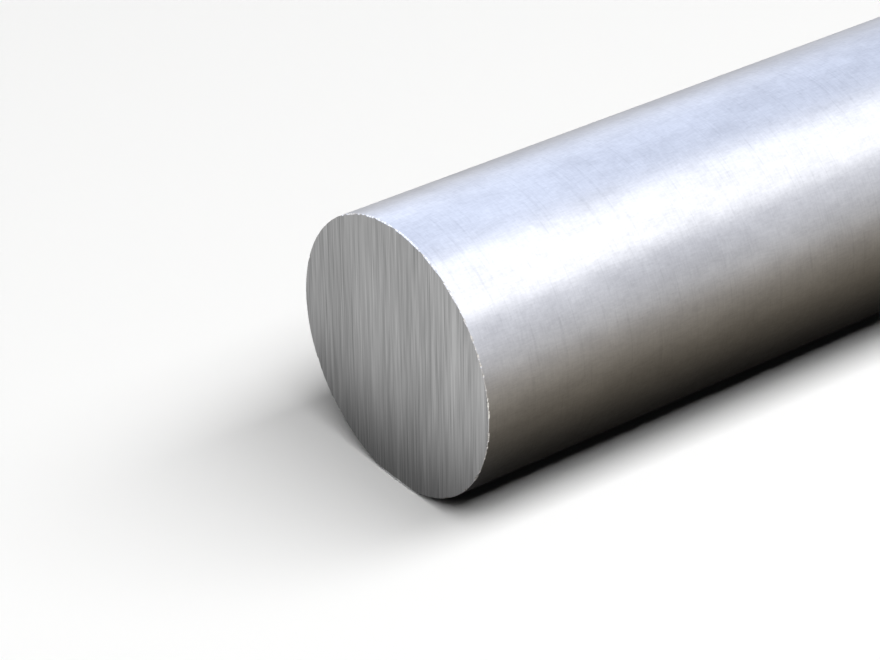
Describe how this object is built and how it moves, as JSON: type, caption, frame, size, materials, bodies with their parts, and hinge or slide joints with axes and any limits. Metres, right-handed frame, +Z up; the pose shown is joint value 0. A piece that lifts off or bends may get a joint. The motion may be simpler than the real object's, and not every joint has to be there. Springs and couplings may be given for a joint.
{
  "type": "round metal bar",
  "caption": "Solid round bar of bright-finished steel, cut to a stock length, with both ends sawn square and their rims lightly broken.",
  "frame": {"origin": "on the floor under the middle of the bar, which lies on its side", "axes": "+X along the bar, from the sawn end that the camera sees to the far one; +Z up"},
  "size_m": [0.5, 0.05, 0.05],
  "materials": {
    "bright_steel": "satin ground finish round the bar, with sawn ends brushed in straight upright strokes"
  },
  "bodies": {
    "root": {"round_bar": "bright_steel"}
  },
  "joints": []
}
